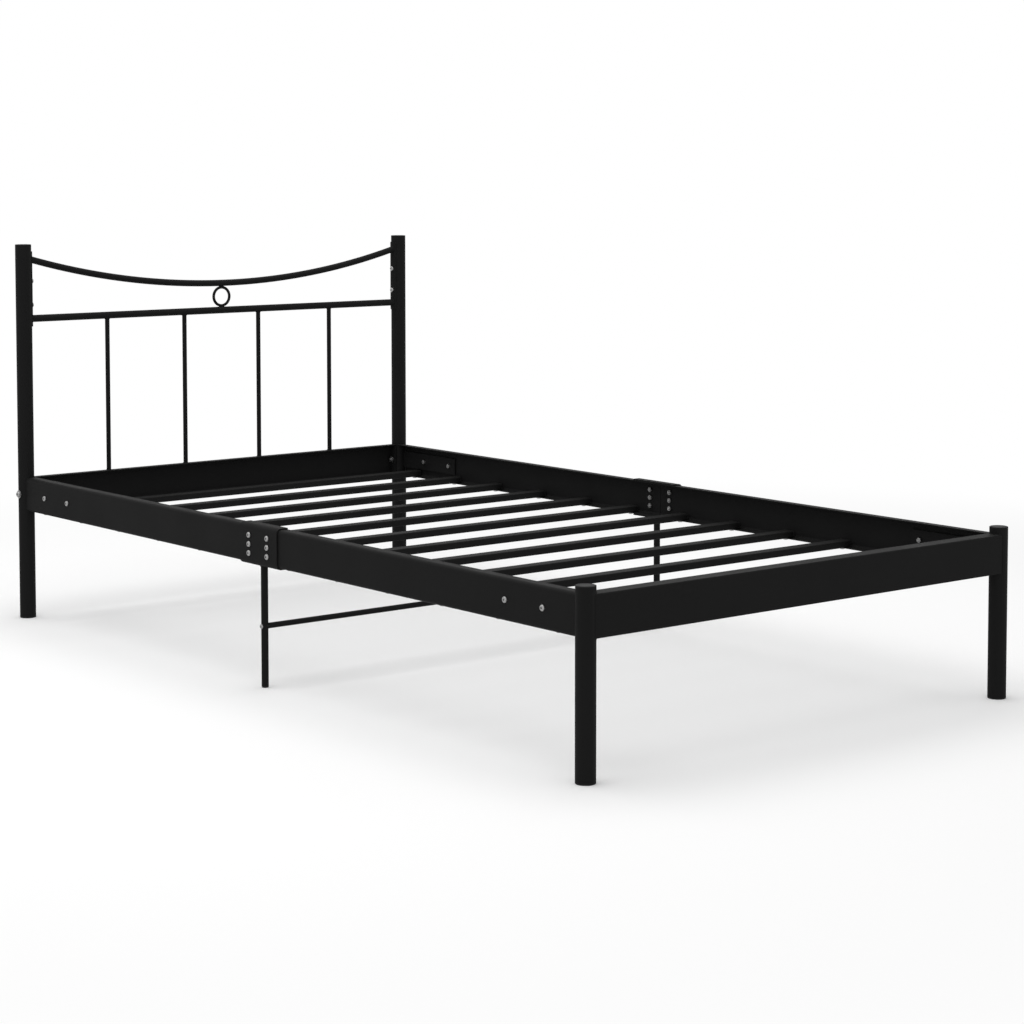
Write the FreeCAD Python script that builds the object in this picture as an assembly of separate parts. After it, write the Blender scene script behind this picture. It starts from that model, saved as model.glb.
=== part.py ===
"""Single metal bed frame with a curved-top headboard, in millimetres.

+Z is up and z = 0 is the floor. The origin lies under the middle of the four posts. +Y runs
towards the headboard, and -X is the left side for someone standing at the foot of the bed.
"""
import FreeCAD
import Part
import math
import os

Vector = FreeCAD.Vector
ORIGIN = Vector(0, 0, 0)
ACROSS = Vector(1, 0, 0)
ALONG = Vector(0, 1, 0)
UP = Vector(0, 0, 1)
SIDES = {"left": -1, "right": 1}
ENDS = {"head": 1, "foot": -1}

# ---- Overall size ----
post_spacing_x = 1106.0      # between post axes, across the bed
post_spacing_y = 2066.0      # between post axes, along the bed
head_height = 897.0          # floor to the top of the head post caps

# ---- Posts, their caps and their floor glides ----
post_diameter = 38.0
post_wall = 1.5
cap_thickness = 2.0
cap_chamfer = 0.5
glide_thickness = 3.0
glide_chamfer = 1.0
plug_depth = 14.0            # how far a cap or glide reaches into its tube
plug_wall = 2.0
plug_clearance = 0.1         # all round, between a plug and its tube

# ---- Rails: one rolled channel, its web outside and its flanges turned in ----
rail_bottom = 259.0
rail_height = 80.0
rail_depth = 25.0
rail_wall = 1.5
rail_radius = 8.0            # outside of the two rolled corners
rail_stand_out = 9.5         # web face beyond the post axes
foot_rail_set_back = 1.3     # its face behind the fronts of the foot posts
foot_rail_radius = 3.0       # outside of its two corners
foot_post_rise = 15.0        # top of the foot post caps above the rails
rail_end_gap = 0.5           # between a bolted rail and the post it meets
rail_joint_gap = 1.0         # between the two halves of a side rail
weld_gap = 0.1               # root gap where a piece is welded to a round one

# ---- Rail tongues: bars welded to the posts, inside the side rails ----
tongue_length = 240.0        # from the post axis
tongue_height = 42.0
tongue_thickness = 4.0
rail_bolt_first = 108.0      # post axis to the nearer rail bolt
rail_bolt_pitch = 108.0

# ---- Sleeves that join the side rail halves ----
sleeve_length = 140.0
sleeve_wall = 3.0
sleeve_fit = 0.2             # between a sleeve and the rail in it
sleeve_bolt_offset = 34.0    # from the joint to each column of bolts
sleeve_bolt_rise = 19.0      # between bolts in a column
sleeve_bolt_rows = 3

# ---- Middle legs and their crossbar ----
leg_diameter = 15.0
leg_wall = 1.2
leg_foot_thickness = 4.0
leg_foot_chamfer = 1.5
leg_plug_depth = 12.0
leg_plug_wall = 1.5
crossbar_height = 129.0      # floor to the crossbar axis
crossbar_diameter = 12.0
crossbar_wall = 1.2
crossbar_plug_length = 20.0
crossbar_end_gap = 0.1

# ---- Slats ----
slats_per_half = 6
slat_width = 30.0
slat_height = 15.0
slat_wall = 1.2
slat_corner = 2.5
slat_end_gap = 0.5           # plug face to the start of the rail's rolled corner
slat_plug_face = 1.5
slat_plug_depth = 2.0
slat_sleeve_gap = 2.0        # nearest slat to the sleeve
slat_head_margin = 70.0      # last slat's middle to the head rail
slat_bolt_inset = 18.0       # rail web face to the slat bolt

# ---- Headboard ----
plate_thickness = 2.0        # end plates, curved to lie round the posts
plate_width = 24.0           # straight across, not round the curve
plate_over_top = 12.0        # plate beyond the top rail's tube, at its upper end
plate_under_mid = 10.0       # plate beyond the middle rail's tube, at its lower end
plate_corner = 5.0
plate_gap = 0.1              # plate to the nearest line of the post
plate_bolt_under_top = 51.0  # top rail's end to the upper bolt
plate_bolt_over_mid = 33.0   # middle rail to the lower bolt
top_rail_diameter = 16.0
top_rail_wall = 1.2
top_rail_drop = 37.0         # post top to the axis of the top rail at its ends
top_rail_sag = 72.5          # its ends to its lowest point, in the middle
mid_rail_diameter = 17.0
mid_rail_wall = 1.2
mid_rail_drop = 178.0        # post top to the axis of the middle rail
ring_rod = 7.0
spindle_count = 4
spindle_margin = 225.0       # post axis to the nearest spindle
spindle_diameter = 11.0
spindle_wall = 1.0
head_plate_thickness = 3.0   # plates welded into the ends of the head rail

# ---- Fasteners ----
hole_clearance = 0.3         # all round, bolt to hole
thread_clearance = 0.15      # all round, bolt to nut
rivet_clearance = 0.1        # all round, rivet nut to hole
m6 = 6.0
m6_length = 12.0
m6_head = 12.5
m6_head_height = 3.3
m6_socket = 4.0
m6_nut_flats = 10.0
m6_nut_height = 5.0
plate_bolt_length = 16.0
rivet_nut_diameter = 9.0
rivet_nut_length = 11.0
m8 = 8.0
m8_head = 14.0
m8_head_height = 4.4
m8_socket = 5.0
m8_nut_flats = 13.0
m8_nut_height = 6.5
m8_thread_over = 2.0         # bolt end beyond its nut
washer_diameter = 19.0
washer_thickness = 1.6
m5 = 5.0
m5_head = 10.0
m5_head_height = 2.8
m5_socket = 3.0
socket_depth_share = 0.6     # of the head's height
head_rim_share = 0.2         # straight rim of a domed head, of its height
head_flat_share = 0.5        # flat top of a domed head, of its radius
dome_swell_share = 0.1       # how far the dome bows out, of its height

# ---- Places that follow from the sizes ----
post_x = post_spacing_x / 2
post_y = post_spacing_y / 2
post_radius = post_diameter / 2
post_bore = post_diameter - 2 * post_wall
m6_hole = m6 + 2 * hole_clearance
m8_hole = m8 + 2 * hole_clearance
rivet_hole = rivet_nut_diameter + 2 * rivet_clearance
rail_face_x = post_x + rail_stand_out
rail_face_y = post_y + rail_stand_out
rail_top = rail_bottom + rail_height
post_height = {ENDS["head"]: head_height, ENDS["foot"]: rail_top + foot_post_rise}
rail_middle = rail_bottom + rail_height / 2
rail_inset = rail_depth - rail_stand_out
side_flange_end = post_y - rail_inset - rail_end_gap
head_rail_face_y = post_y + rail_depth / 2
foot_rail_face_y = post_y + post_radius - foot_rail_set_back
foot_rail_depth = foot_rail_face_y - (post_y - rail_inset)
rail_bolt_y = [post_y - rail_bolt_first - i * rail_bolt_pitch for i in range(2)]
sleeve_out = sleeve_fit + sleeve_wall
sleeve_bolt_z = [rail_middle + (row - (sleeve_bolt_rows - 1) / 2) * sleeve_bolt_rise
                 for row in range(sleeve_bolt_rows)]
leg_x = rail_face_x - rail_depth / 2
leg_radius = leg_diameter / 2
leg_top = rail_bottom - sleeve_out
slat_bottom = rail_bottom + rail_wall
slat_tip = rail_face_x - rail_radius - slat_end_gap
slat_tube_end = slat_tip - slat_plug_face
slat_bolt_x = rail_face_x - slat_bolt_inset
slat_first_y = sleeve_length / 2 + slat_sleeve_gap + slat_width / 2
slat_last_y = post_y - rail_depth / 2 - slat_head_margin
slat_pitch = (slat_last_y - slat_first_y) / (slats_per_half - 1)
slat_rows = sorted(end * (slat_first_y + i * slat_pitch)
                   for end in ENDS.values() for i in range(slats_per_half))
plate_face_x = post_x - post_radius - plate_gap
headboard_end_x = plate_face_x - plate_thickness
rivet_nut_x = post_x - math.sqrt(post_radius ** 2 - (rivet_nut_diameter / 2) ** 2)
mid_rail_z = head_height - mid_rail_drop
top_rail_end_z = head_height - top_rail_drop
top_rail_low_z = top_rail_end_z - top_rail_sag
plate_top = top_rail_end_z + top_rail_diameter / 2 + plate_over_top
plate_bottom = mid_rail_z - mid_rail_diameter / 2 - plate_under_mid
plate_bolt_z = [top_rail_end_z - plate_bolt_under_top, mid_rail_z + plate_bolt_over_mid]
top_rail_arc = (headboard_end_x ** 2 + top_rail_sag ** 2) / (2 * top_rail_sag)
ring_bottom = mid_rail_z + mid_rail_diameter / 2 + weld_gap
ring_top = top_rail_low_z - top_rail_diameter / 2 - weld_gap
spindle_pitch = (post_spacing_x - 2 * spindle_margin) / (spindle_count - 1)
spindle_x = [(i - (spindle_count - 1) / 2) * spindle_pitch for i in range(spindle_count)]


# ---- Shapes that several pieces share ----
def rod(diameter, length, base, direction):
    return Part.makeCylinder(diameter / 2, length, base, direction)


def tube(diameter, wall, length, base, direction):
    bore = rod(diameter - 2 * wall, length, base, direction)
    return rod(diameter, length, base, direction).cut(bore)


def hole(diameter, reach, middle, direction):
    """A cutter for a round hole, reaching the same way to both sides of its middle."""
    return rod(diameter, 2 * reach, middle - direction * reach, direction)


def block(low, high):
    return Part.makeBox(high.x - low.x, high.y - low.y, high.z - low.z, low)


def rounded(solid, radius, direction):
    """Round the straight edges of a block that run along one direction."""
    edges = [edge for edge in solid.Edges
             if abs(abs(edge.tangentAt(edge.FirstParameter).dot(direction)) - 1) < 1e-6]
    return solid.makeFillet(radius, edges)


def turned_to(solid, place, direction):
    """Move a piece that was drawn at the origin along +Z to its place and direction."""
    moved = solid.copy()
    moved.Placement = FreeCAD.Placement(place, FreeCAD.Rotation(UP, direction))
    return moved


def hexagon(flats, height):
    corner = flats / math.sqrt(3)
    points = [Vector(corner * math.cos(i * math.pi / 3), corner * math.sin(i * math.pi / 3), 0)
              for i in range(6)]
    return Part.Face(Part.makePolygon(points + points[:1])).extrude(UP * height)


def channel(corner, outward, along, height, depth, wall, radius):
    """A rolled channel from its lower outside corner: web facing outward, flanges turned in."""
    def at(inset, rise):
        return corner - outward * inset + UP * rise

    def bend(middle_inset, middle_rise, bend_radius, up, inwards_first):
        near = at(middle_inset - bend_radius, middle_rise)
        level = at(middle_inset, middle_rise + up * bend_radius)
        part = bend_radius * math.sqrt(0.5)
        middle = at(middle_inset - part, middle_rise + up * part)
        ends = (level, near) if inwards_first else (near, level)
        return Part.Arc(ends[0], middle, ends[1]).toShape()

    def line(first, last):
        return Part.LineSegment(at(*first), at(*last)).toShape()

    inner = radius - wall
    edges = [
        line((depth, 0), (radius, 0)),
        bend(radius, radius, radius, -1, True),
        line((0, radius), (0, height - radius)),
        bend(radius, height - radius, radius, 1, False),
        line((radius, height), (depth, height)),
        line((depth, height), (depth, height - wall)),
        line((depth, height - wall), (radius, height - wall)),
        bend(radius, height - radius, inner, 1, True),
        line((wall, height - radius), (wall, radius)),
        bend(radius, radius, inner, -1, False),
        line((radius, wall), (depth, wall)),
        line((depth, wall), (depth, 0)),
    ]
    return Part.Face(Part.Wire(edges)).extrude(along)


def post_space(side, end, gap):
    """The room that a post and a gap round it take, to cut rails and tongues to the post."""
    base = Vector(side * post_x, end * post_y, 0)
    return rod(post_diameter + 2 * gap, head_height, base, UP)


# ---- Fasteners, drawn along +Z with the underside of the head at z = 0 ----
def domed_bolt(size, length, head, rise, socket):
    radius = head / 2
    rim = head_rim_share * rise
    flat = head_flat_share * radius
    swell = dome_swell_share * rise
    shoulder = Vector((radius + flat) / 2 + swell, 0, (rise + rim) / 2 + swell)
    corners = [ORIGIN, Vector(radius, 0, 0), Vector(radius, 0, rim), Vector(flat, 0, rise),
               Vector(0, 0, rise)]
    outline = [
        Part.LineSegment(corners[0], corners[1]).toShape(),
        Part.LineSegment(corners[1], corners[2]).toShape(),
        Part.Arc(corners[2], shoulder, corners[3]).toShape(),
        Part.LineSegment(corners[3], corners[4]).toShape(),
        Part.LineSegment(corners[4], corners[0]).toShape(),
    ]
    dome = Part.Face(Part.Wire(outline)).revolve(ORIGIN, UP, 360)
    key = hexagon(socket, rise)
    key.translate(UP * (1 - socket_depth_share) * rise)
    return dome.cut(key).fuse(rod(size, length, UP * -length, UP)).removeSplitter()


def hex_nut(size, flats, height):
    bore = rod(size + 2 * thread_clearance, height, ORIGIN, UP)
    return hexagon(flats, height).cut(bore)


def rivet_nut():
    return tube(rivet_nut_diameter, rivet_nut_diameter / 2 - m6 / 2 - thread_clearance,
                rivet_nut_length, ORIGIN, UP)


def washer():
    wall = washer_diameter / 2 - m8 / 2 - hole_clearance
    return tube(washer_diameter, wall, washer_thickness, ORIGIN, UP)


# ---- Posts ----
def plug(outer, bore, face, depth, wall, chamfer):
    """A moulded plug for a tube's end: a face outside, on +Z, and a hollow spigot inside."""
    disc = rod(outer, face, ORIGIN, UP)
    rim = [edge for edge in disc.Edges if edge.BoundBox.ZMin > face / 2]
    spigot = tube(bore - 2 * plug_clearance, wall, depth, UP * -depth, UP)
    return disc.makeChamfer(chamfer, rim).fuse(spigot).removeSplitter()


def post(side, end):
    x, y = side * post_x, end * post_y
    length = post_height[end] - cap_thickness - glide_thickness
    body = tube(post_diameter, post_wall, length, Vector(x, y, glide_thickness), UP)
    if end == ENDS["foot"]:
        return body
    holes = [hole(m8_hole, post_diameter, Vector(x, y, rail_middle), ACROSS)]
    holes += [hole(rivet_hole, post_radius, Vector(x - side * post_radius, y, z), ACROSS)
              for z in plate_bolt_z]
    return body.cut(holes)


def post_cap(side, end):
    cap = plug(post_diameter, post_bore, cap_thickness, plug_depth, plug_wall, cap_chamfer)
    top = post_height[end] - cap_thickness
    return turned_to(cap, Vector(side * post_x, end * post_y, top), UP)


def post_glide(side, end):
    glide = plug(post_diameter, post_bore, glide_thickness, plug_depth, plug_wall,
                 glide_chamfer)
    return turned_to(glide, Vector(side * post_x, end * post_y, glide_thickness), -UP)


# ---- Rails ----
def rail_channel(corner, outward, along):
    return channel(corner, outward, along, rail_height, rail_depth, rail_wall, rail_radius)


def cross_rail_space(side, end):
    """The room on the inner side of a post that the rail across the bed takes there."""
    x = sorted((side * post_x, side * (post_x - rail_depth)))
    y = sorted((end * side_flange_end, end * rail_face_y))
    return block(Vector(x[0], y[0], 0), Vector(x[1], y[1], head_height))


def side_rail(side, end):
    start = Vector(side * rail_face_x, end * rail_joint_gap / 2, rail_bottom)
    along = Vector(0, end * (post_y - rail_joint_gap / 2), 0)
    reach = 2 * rail_wall
    cutters = [post_space(side, end, rail_end_gap), cross_rail_space(side, end)]
    cutters += [hole(m6_hole, reach, Vector(side * rail_face_x, end * y, rail_middle), ACROSS)
                for y in rail_bolt_y]
    cutters += [hole(m6_hole, reach, Vector(side * rail_face_x, end * sleeve_bolt_offset, z),
                     ACROSS) for z in sleeve_bolt_z]
    cutters += [hole(m6_hole, reach, Vector(side * slat_bolt_x, y, rail_bottom), UP)
                for y in slat_rows if y * end > 0]
    return rail_channel(start, Vector(side, 0, 0), along).cut(cutters)


def foot_rail():
    """Deeper than the side rails: its face is nearly level with the fronts of the posts."""
    start = Vector(-post_x, -foot_rail_face_y, rail_bottom)
    body = channel(start, Vector(0, -1, 0), Vector(post_spacing_x, 0, 0), rail_height,
                   foot_rail_depth, rail_wall, foot_rail_radius)
    return body.cut([post_space(side, ENDS["foot"], weld_gap) for side in SIDES.values()])


def head_rail():
    """It sits central on the posts, so that its bolts pass through the post axes."""
    start = Vector(-post_x, head_rail_face_y, rail_bottom)
    body = rail_channel(start, ALONG, Vector(post_spacing_x, 0, 0))
    return body.cut([post_space(side, ENDS["head"], rail_end_gap) for side in SIDES.values()])


def head_rail_end_plate(side):
    outer_x = plate_face_x
    inner_x = outer_x - head_plate_thickness
    low = Vector(min(side * outer_x, side * inner_x), post_y - rail_depth / 2, slat_bottom)
    high = Vector(max(side * outer_x, side * inner_x), head_rail_face_y - rail_wall,
                  rail_top - rail_wall)
    plate = rounded(block(low, high), rail_radius, ACROSS)
    bolt_axis = Vector(side * outer_x, post_y, rail_middle)
    return plate.cut(hole(m8_hole, 2 * head_plate_thickness, bolt_axis,
                          ACROSS))


def rail_tongue(side, end):
    outer_x = rail_face_x - rail_wall
    inner_x = outer_x - tongue_thickness
    y_far, y_near = end * post_y, end * (post_y - tongue_length)
    low = Vector(min(side * outer_x, side * inner_x), min(y_far, y_near),
                 rail_middle - tongue_height / 2)
    high = Vector(max(side * outer_x, side * inner_x), max(y_far, y_near),
                  rail_middle + tongue_height / 2)
    cutters = [post_space(side, end, weld_gap)]
    cutters += [hole(m6_hole, 2 * tongue_thickness,
                     Vector(side * outer_x, end * y, rail_middle), ACROSS)
                for y in rail_bolt_y]
    return block(low, high).cut(cutters)


def rail_sleeve(side):
    face_x = rail_face_x + sleeve_out
    start = Vector(side * face_x, -sleeve_length / 2, rail_bottom - sleeve_out)
    body = channel(start, Vector(side, 0, 0), Vector(0, sleeve_length, 0),
                   rail_height + 2 * sleeve_out, rail_depth + sleeve_out, sleeve_wall,
                   rail_radius + sleeve_out)
    return body.cut([hole(m6_hole, 2 * sleeve_wall,
                          Vector(side * face_x, end * sleeve_bolt_offset, z), ACROSS)
                     for end in ENDS.values() for z in sleeve_bolt_z])


# ---- Middle legs ----
def support_leg(side):
    body = tube(leg_diameter, leg_wall, leg_top - leg_foot_thickness,
                Vector(side * leg_x, 0, leg_foot_thickness), UP)
    return body.cut(hole(m5 + 2 * hole_clearance, leg_diameter,
                         Vector(side * leg_x, 0, crossbar_height), ACROSS))


def support_leg_foot(side):
    foot = plug(leg_diameter, leg_diameter - 2 * leg_wall, leg_foot_thickness, leg_plug_depth,
                leg_plug_wall, leg_foot_chamfer)
    return turned_to(foot, Vector(side * leg_x, 0, leg_foot_thickness), -UP)


def crossbar_end():
    return leg_x - leg_radius - crossbar_end_gap


def support_crossbar():
    return tube(crossbar_diameter, crossbar_wall, 2 * crossbar_end(),
                Vector(-crossbar_end(), 0, crossbar_height), ACROSS)


def crossbar_plug(side):
    diameter = crossbar_diameter - 2 * crossbar_wall - 2 * plug_clearance
    return tube(diameter, diameter / 2 - m5 / 2 - thread_clearance, crossbar_plug_length,
                Vector(side * crossbar_end(), 0, crossbar_height), Vector(-side, 0, 0))


# ---- Slats ----
def slat_box(inset, half_length, y):
    """The slat's section, drawn in by an inset, from one end to the other."""
    half_width = slat_width / 2 - inset
    body = block(Vector(-half_length, y - half_width, slat_bottom + inset),
                 Vector(half_length, y + half_width, slat_bottom + slat_height - inset))
    return rounded(body, slat_corner - inset, ACROSS)


def slat(y):
    body = slat_box(0, slat_tube_end, y).cut(slat_box(slat_wall, slat_tube_end, y))
    return body.cut([hole(rivet_hole, 2 * slat_wall, Vector(side * slat_bolt_x, y, slat_bottom),
                          UP) for side in SIDES.values()])


def slat_plug(side, y):
    def slice_of(inset, first, last):
        low = Vector(min(side * first, side * last), y - slat_width, 0)
        high = Vector(max(side * first, side * last), y + slat_width, rail_top)
        return slat_box(inset, slat_tip, y).common(block(low, high))

    spigot = slice_of(slat_wall + plug_clearance, slat_tube_end - slat_plug_depth, slat_tube_end)
    return slice_of(0, slat_tube_end, slat_tip).fuse(spigot).removeSplitter()


# ---- Headboard ----
def plate_space(gap):
    """The room that both end plates and a gap round them take, to cut the rails to them."""
    return [post_space(side, ENDS["head"], plate_gap + plate_thickness + gap)
            for side in SIDES.values()]


def headboard_top_rail():
    """A tube bent to one arc that hangs between the end plates, its ends cut to fit them."""
    middle = Vector(0, post_y, top_rail_low_z)
    outer = Part.Wire(Part.makeCircle(top_rail_diameter / 2, middle, ACROSS))
    bore = Part.Wire(Part.makeCircle(top_rail_diameter / 2 - top_rail_wall, middle,
                                     ACROSS))
    section = Part.Face(outer).cut(Part.Face(bore))
    centre = middle + UP * top_rail_arc
    reach = math.degrees(math.asin((headboard_end_x + top_rail_diameter) / top_rail_arc))
    section.rotate(centre, ALONG, -reach)
    swept = section.Faces[0].revolve(centre, ALONG, 2 * reach)
    return swept.cut(plate_space(weld_gap)).Solids[0]


def headboard_mid_rail():
    body = tube(mid_rail_diameter, mid_rail_wall, post_spacing_x,
                Vector(-post_x, post_y, mid_rail_z), ACROSS)
    return body.cut(plate_space(weld_gap))


def headboard_ring():
    centre = Vector(0, post_y, (ring_top + ring_bottom) / 2)
    radius = (ring_top - ring_bottom - ring_rod) / 2
    return Part.makeTorus(radius, ring_rod / 2, centre, ALONG)


def headboard_spindle(x):
    bar = tube(spindle_diameter, spindle_wall, mid_rail_z - rail_top,
               Vector(x, post_y, rail_top), UP)
    return bar.cut(rod(mid_rail_diameter + 2 * weld_gap, 2 * spindle_diameter,
                       Vector(x - spindle_diameter, post_y, mid_rail_z), ACROSS))


def headboard_end_plate(side):
    """A plate bent to the curve of the post, on the side that faces the headboard."""
    low = Vector(min(side * headboard_end_x, side * post_x), post_y - plate_width / 2,
                 plate_bottom)
    high = Vector(max(side * headboard_end_x, side * post_x), post_y + plate_width / 2,
                  plate_top)
    outside = post_space(side, ENDS["head"], plate_gap + plate_thickness)
    plate = rounded(block(low, high), plate_corner, ACROSS).common(outside)
    cutters = [post_space(side, ENDS["head"], plate_gap)]
    cutters += [hole(m6_hole, 2 * plate_thickness, Vector(side * plate_face_x, post_y, z), ACROSS)
                for z in plate_bolt_z]
    return plate.cut(cutters)


# ---- Groups of identical fasteners ----
def rail_bolts():
    bolt = domed_bolt(m6, m6_length, m6_head, m6_head_height, m6_socket)
    group = []
    for side in SIDES.values():
        outward = Vector(side, 0, 0)
        for end in ENDS.values():
            group += [turned_to(bolt, Vector(side * rail_face_x, end * y, rail_middle), outward)
                      for y in rail_bolt_y]
            group += [turned_to(bolt, Vector(side * (rail_face_x + sleeve_out),
                                             end * sleeve_bolt_offset, z), outward)
                      for z in sleeve_bolt_z]
    return group


def rail_nuts():
    nut = hex_nut(m6, m6_nut_flats, m6_nut_height)
    web_x = rail_face_x - rail_wall
    group = []
    for side in SIDES.values():
        inward = Vector(-side, 0, 0)
        for end in ENDS.values():
            group += [turned_to(nut, Vector(side * (web_x - tongue_thickness), end * y,
                                            rail_middle), inward) for y in rail_bolt_y]
            group += [turned_to(nut, Vector(side * web_x, end * sleeve_bolt_offset, z), inward)
                      for z in sleeve_bolt_z]
    return group


def slat_bolts():
    bolt = domed_bolt(m6, m6_length, m6_head, m6_head_height, m6_socket)
    return [turned_to(bolt, Vector(side * slat_bolt_x, y, rail_bottom), -UP)
            for side in SIDES.values() for y in slat_rows]


def rivet_nuts():
    """They sit in the slats' lower walls and in the head posts, behind the end plates."""
    nut = rivet_nut()
    group = [turned_to(nut, Vector(side * slat_bolt_x, y, slat_bottom), UP)
             for side in SIDES.values() for y in slat_rows]
    group += [turned_to(nut, Vector(side * rivet_nut_x, post_y, z), Vector(side, 0, 0))
              for side in SIDES.values() for z in plate_bolt_z]
    return group


def headboard_bolts():
    bolt = domed_bolt(m6, plate_bolt_length, m6_head, m6_head_height, m6_socket)
    return [turned_to(bolt, Vector(side * headboard_end_x, post_y, z), Vector(-side, 0, 0))
            for side in SIDES.values() for z in plate_bolt_z]


def head_rail_bolts():
    under_head = post_x + post_radius + plate_gap + washer_thickness
    nut_end = plate_face_x - head_plate_thickness - m8_nut_height
    bolt = domed_bolt(m8, under_head - nut_end + m8_thread_over, m8_head, m8_head_height,
                      m8_socket)
    return [turned_to(bolt, Vector(side * under_head, post_y, rail_middle), Vector(side, 0, 0))
            for side in SIDES.values()]


def head_rail_washers():
    return [turned_to(washer(), Vector(side * (post_x + post_radius + plate_gap), post_y,
                                       rail_middle), Vector(side, 0, 0))
            for side in SIDES.values()]


def head_rail_nuts():
    nut = hex_nut(m8, m8_nut_flats, m8_nut_height)
    return [turned_to(nut, Vector(side * (plate_face_x - head_plate_thickness), post_y,
                                  rail_middle), Vector(-side, 0, 0))
            for side in SIDES.values()]


def crossbar_screws():
    under_head = leg_x + leg_radius + crossbar_end_gap
    length = under_head - crossbar_end() + crossbar_plug_length * 3 / 4
    screw = domed_bolt(m5, length, m5_head, m5_head_height, m5_socket)
    return [turned_to(screw, Vector(side * under_head, 0, crossbar_height), Vector(side, 0, 0))
            for side in SIDES.values()]


# ---- Write every node ----
def save(name, *solids):
    shape = solids[0] if len(solids) == 1 else Part.makeCompound(list(solids))
    shape.exportStep(f"parts/{name}.step")


os.makedirs("parts", exist_ok=True)

for end_word, end in ENDS.items():
    for side_word, side in SIDES.items():
        save(f"{end_word}_post_{side_word}", post(side, end))
        save(f"{end_word}_post_cap_{side_word}", post_cap(side, end))
        save(f"side_rail_{side_word}_{end_word}", side_rail(side, end))
        save(f"rail_tongue_{side_word}_{end_word}", rail_tongue(side, end))
save("post_glides", *[post_glide(side, end) for side in SIDES.values() for end in ENDS.values()])

save("foot_rail", foot_rail())
save("head_rail", head_rail())
save("head_rail_end_plates", *[head_rail_end_plate(side) for side in SIDES.values()])

for side_word, side in SIDES.items():
    save(f"rail_sleeve_{side_word}", rail_sleeve(side))
    save(f"support_leg_{side_word}", support_leg(side))
    save(f"headboard_end_plate_{side_word}", headboard_end_plate(side))
save("support_leg_feet", *[support_leg_foot(side) for side in SIDES.values()])
save("support_crossbar", support_crossbar())
save("crossbar_plugs", *[crossbar_plug(side) for side in SIDES.values()])

save("headboard_top_rail", headboard_top_rail())
save("headboard_mid_rail", headboard_mid_rail())
save("headboard_ring", headboard_ring())
for number, x in enumerate(spindle_x, start=1):
    save(f"headboard_spindle_{number}", headboard_spindle(x))

for number, y in enumerate(slat_rows, start=1):
    save(f"slat_{number:02d}", slat(y))
save("slat_end_plugs", *[slat_plug(side, y) for side in SIDES.values() for y in slat_rows])

save("rail_bolts", *rail_bolts())
save("rail_nuts", *rail_nuts())
save("slat_bolts", *slat_bolts())
save("rivet_nuts", *rivet_nuts())
save("headboard_bolts", *headboard_bolts())
save("head_rail_bolts", *head_rail_bolts())
save("head_rail_washers", *head_rail_washers())
save("head_rail_nuts", *head_rail_nuts())
save("crossbar_screws", *crossbar_screws())
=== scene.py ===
import math

import bmesh
import bpy
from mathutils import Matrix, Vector


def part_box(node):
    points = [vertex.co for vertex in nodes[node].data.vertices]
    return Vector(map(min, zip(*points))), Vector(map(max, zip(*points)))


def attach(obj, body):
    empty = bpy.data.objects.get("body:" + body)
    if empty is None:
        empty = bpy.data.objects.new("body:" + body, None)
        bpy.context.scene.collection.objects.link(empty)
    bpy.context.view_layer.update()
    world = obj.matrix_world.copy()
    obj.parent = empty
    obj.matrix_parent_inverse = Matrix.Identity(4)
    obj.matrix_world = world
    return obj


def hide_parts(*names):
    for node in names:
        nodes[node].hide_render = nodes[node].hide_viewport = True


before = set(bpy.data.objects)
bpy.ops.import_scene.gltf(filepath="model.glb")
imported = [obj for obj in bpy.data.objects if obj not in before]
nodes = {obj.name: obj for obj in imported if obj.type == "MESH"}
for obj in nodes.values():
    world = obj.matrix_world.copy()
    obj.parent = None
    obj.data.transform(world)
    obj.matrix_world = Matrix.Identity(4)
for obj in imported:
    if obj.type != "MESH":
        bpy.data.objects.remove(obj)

scene = bpy.context.scene
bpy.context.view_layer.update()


# ---- Posts ----
# Four round steel tubes, sawn square and powder coated satin black before packing. The tall
# pair carries the headboard and the short pair is welded to the foot rail.
def add_node(tree, kind, inputs=(), **settings):
    """A node with its settings. Each input is a value, or an output to link to it."""
    node = tree.nodes.new(kind)
    for name, value in settings.items():
        setattr(node, name, value)
    for name, value in dict(inputs).items():
        if isinstance(value, bpy.types.NodeSocket):
            tree.links.new(value, node.inputs[name])
        else:
            node.inputs[name].default_value = value
    return node


def work_out(tree, operation, first, second=0.0):
    """The output of one operation on two values or outputs."""
    inputs = {0: first, 1: second}
    return add_node(tree, "ShaderNodeMath", inputs, operation=operation).outputs[0]


def spread(tree, value, given, wanted, **settings):
    """A value moved from one (low, high) range to another, and held inside it."""
    inputs = {"Value": value, "From Min": given[0], "From Max": given[1],
              "To Min": wanted[0], "To Max": wanted[1]}
    return add_node(tree, "ShaderNodeMapRange", inputs, **settings).outputs["Result"]


def noise(tree, place, scale, detail, low=0.0, high=1.0):
    """Noise at a scale in waves per metre, spread from low to high."""
    waves = add_node(tree, "ShaderNodeTexNoise",
                     {"Vector": place, "Scale": scale, "Detail": detail})
    usual_noise = (0.3, 0.7)
    return spread(tree, waves.outputs["Fac"], usual_noise, (low, high))


def blend_colours(tree, share, first, second):
    """A colour between two, by a share from 0 to 1."""
    mix = add_node(tree, "ShaderNodeMix", {0: share, 6: first, 7: second}, data_type="RGBA")
    return mix.outputs[2]


def grey(level, warmth=0.0):
    """A near-neutral colour, a little warm above 0 and a little cold below."""
    return (level * (1 + warmth), level, level * (1 - warmth), 1)


def new_material(name):
    """A material, its tree, its shader, and the place on the object in metres."""
    material = bpy.data.materials.new(name)
    material.use_nodes = True
    tree = material.node_tree
    place = add_node(tree, "ShaderNodeTexCoord").outputs["Object"]
    return material, tree, tree.nodes["Principled BSDF"], place


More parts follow.
